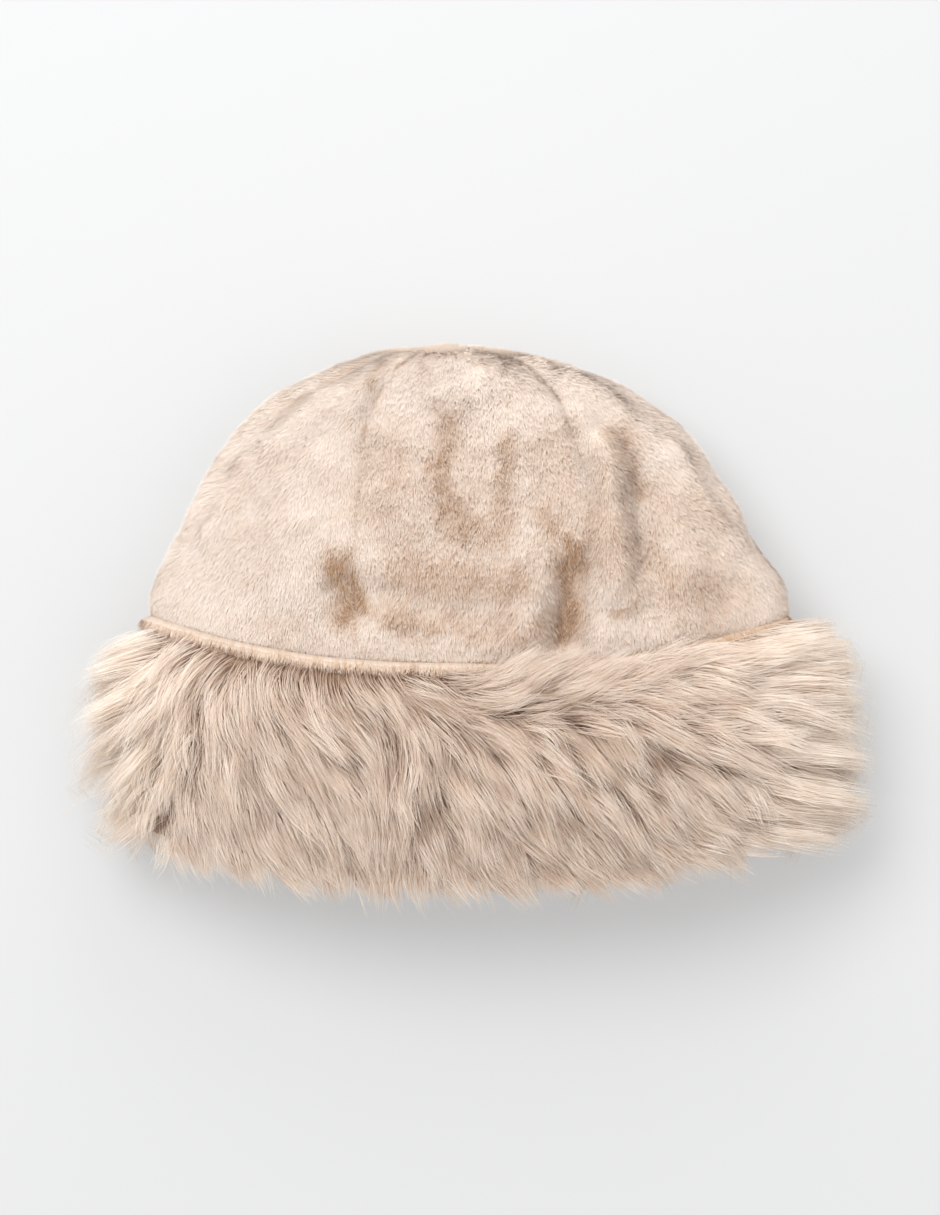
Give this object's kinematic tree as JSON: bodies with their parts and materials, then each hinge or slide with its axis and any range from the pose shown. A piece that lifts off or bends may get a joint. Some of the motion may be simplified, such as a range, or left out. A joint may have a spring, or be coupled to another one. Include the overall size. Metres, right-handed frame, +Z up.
{
  "type": "plush hat with fur cuff",
  "caption": "Soft gored plush hat with a deep cuff of long combed fur, lying flat on its back with its mouth open",
  "frame": {"origin": "middle of the hat's footprint, on the surface it lies on", "axes": "+X across the hat to the wearer's left side as it lies on its back, +Y from the open mouth to the crown's tip, +Z up"},
  "size_m": [0.3334, 0.2352, 0.0897],
  "materials": {
    "plush": "short dense pile, matt with a soft sheen",
    "plush_welt": "short dense pile rolled over a cord edge",
    "long_fur": "long soft hairs combed in locks"
  },
  "bodies": {
    "root": {"panel_front": "plush", "panel_front_left": "plush", "panel_front_right": "plush", "panel_back_left": "plush", "panel_back_right": "plush", "panel_back": "plush", "hem_welt": "plush_welt", "fur_cuff": "long_fur"}
  },
  "joints": []
}
